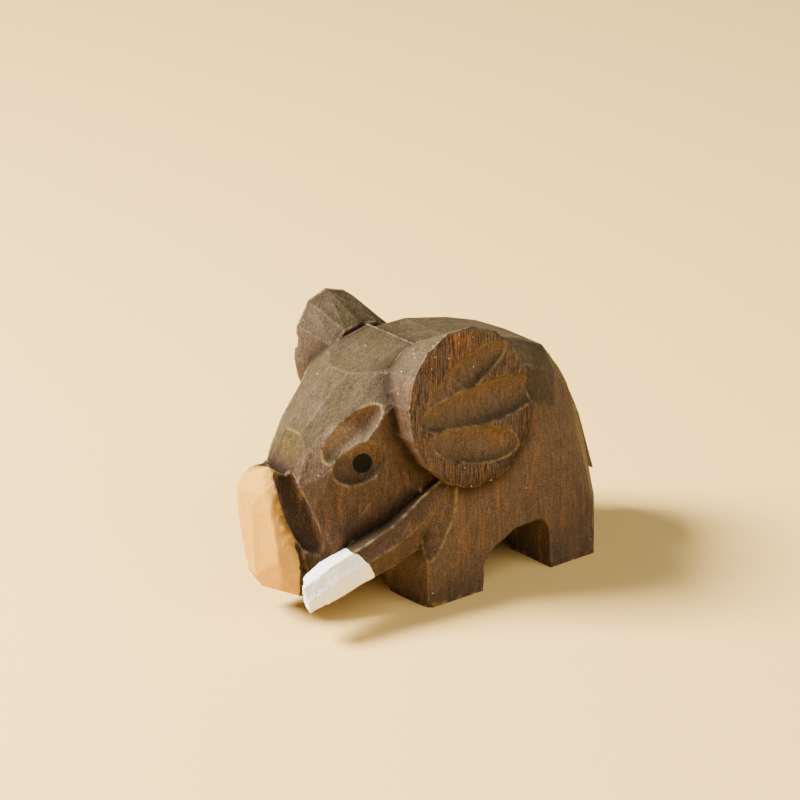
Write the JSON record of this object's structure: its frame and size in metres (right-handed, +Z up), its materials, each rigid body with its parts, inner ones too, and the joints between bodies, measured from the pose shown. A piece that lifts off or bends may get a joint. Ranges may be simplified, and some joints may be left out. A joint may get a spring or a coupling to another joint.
{
  "type": "carved wooden elephant figure",
  "caption": "Small elephant whittled from one block of wood, standing, with a curled trunk tip, fluted ears and one white-tipped tusk; a shelf ornament.",
  "frame": {"origin": "bottom centre of the carving's bounding box, on the ground under the belly", "axes": "+Z up, head towards -Y, the elephant's own left (the side with the long tusk) towards +X"},
  "size_m": [0.026, 0.0606, 0.0403],
  "materials": {
    "carved_wood": "thin umber-brown paint over carved wood, satin, with bare pale wood at the trunk's tip, white on the left tusk's tip and a black dot on each eye"
  },
  "bodies": {
    "root": {"elephant_carving": "carved_wood"}
  },
  "joints": []
}
